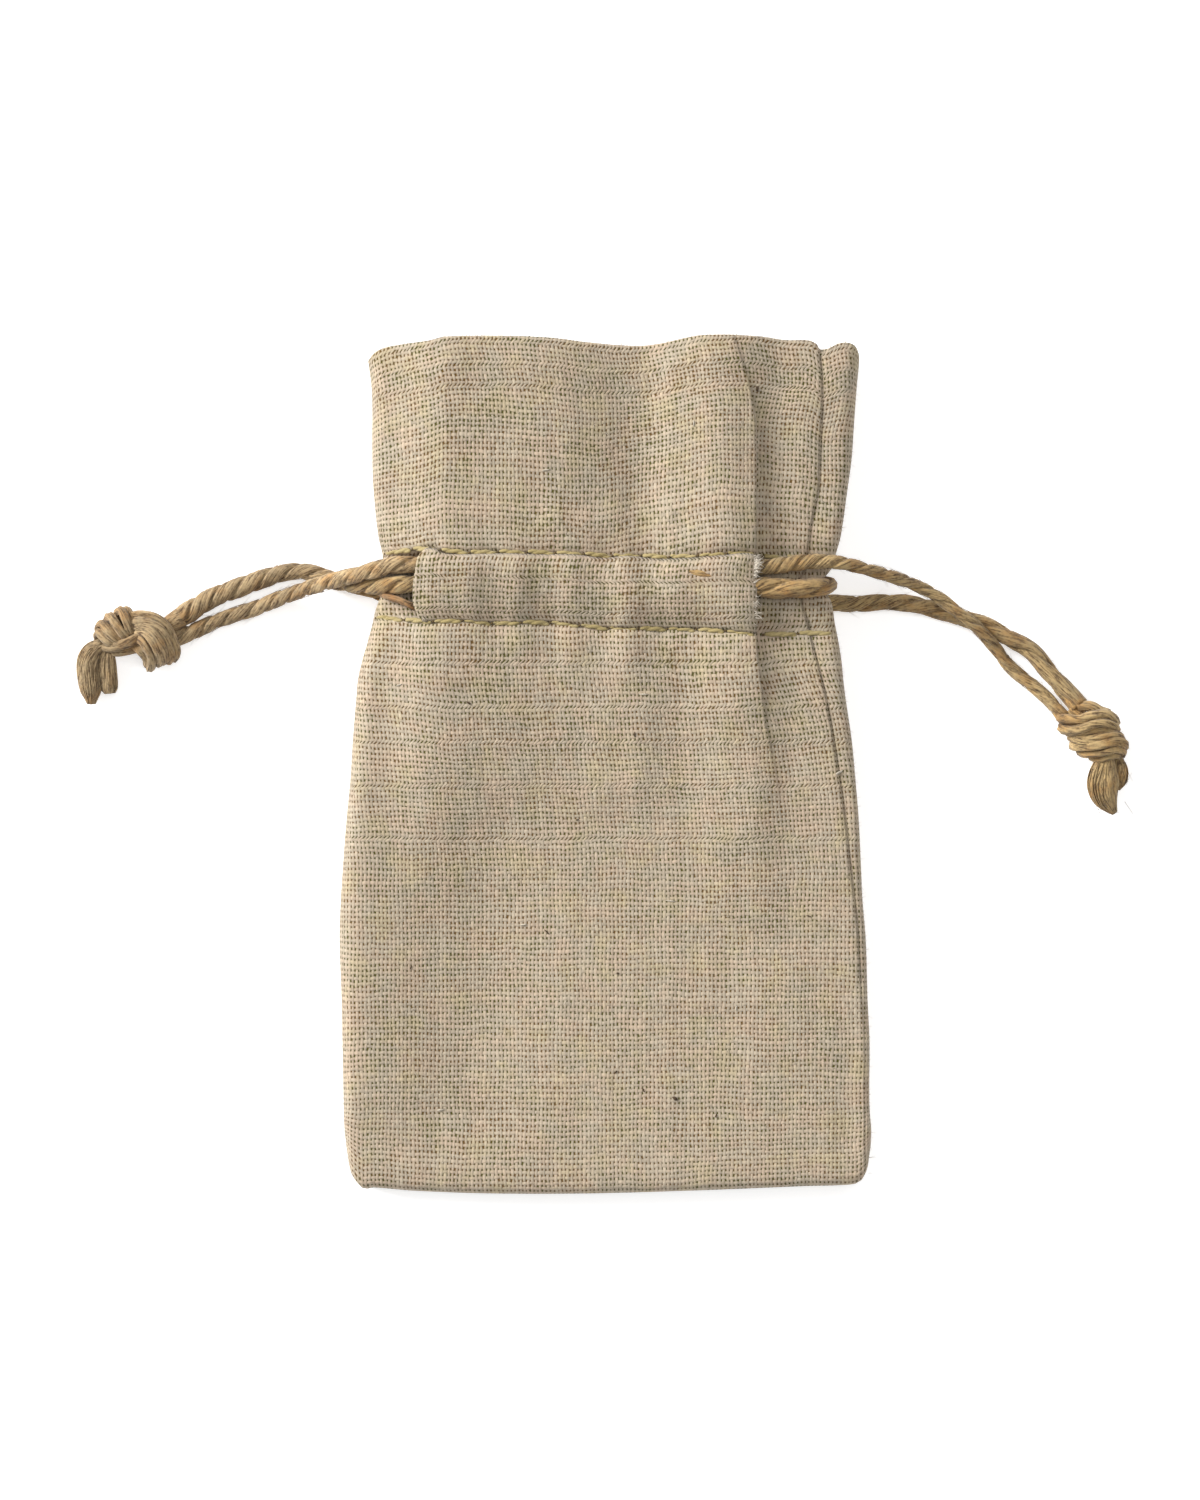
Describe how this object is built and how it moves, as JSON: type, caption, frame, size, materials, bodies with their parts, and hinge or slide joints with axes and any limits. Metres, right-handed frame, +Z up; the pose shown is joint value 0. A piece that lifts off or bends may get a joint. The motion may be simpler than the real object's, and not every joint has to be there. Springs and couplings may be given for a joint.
{
  "type": "drawstring bag",
  "caption": "Small flat drawstring bag of open plain-weave linen, with jute drawcords in a stitched channel and a knot at each side.",
  "frame": {"origin": "on the surface that the bag lies on, under the middle of the bag's cloth without its cords", "axes": "X to the right across the bag as seen from its front, Y from the bottom fold towards the mouth, Z up out of the front"},
  "size_m": [0.1612, 0.1297, 0.0181],
  "materials": {
    "linen": "open plain weave of unbleached linen, matte, slubby, with dark gaps between the threads",
    "jute": "two-ply twisted jute twine, matte, with loose fibres"
  },
  "bodies": {
    "root": {"bag_cloth": "linen", "cord_left": "jute", "cord_right": "jute", "knot_left": "jute", "knot_right": "jute"}
  },
  "joints": []
}
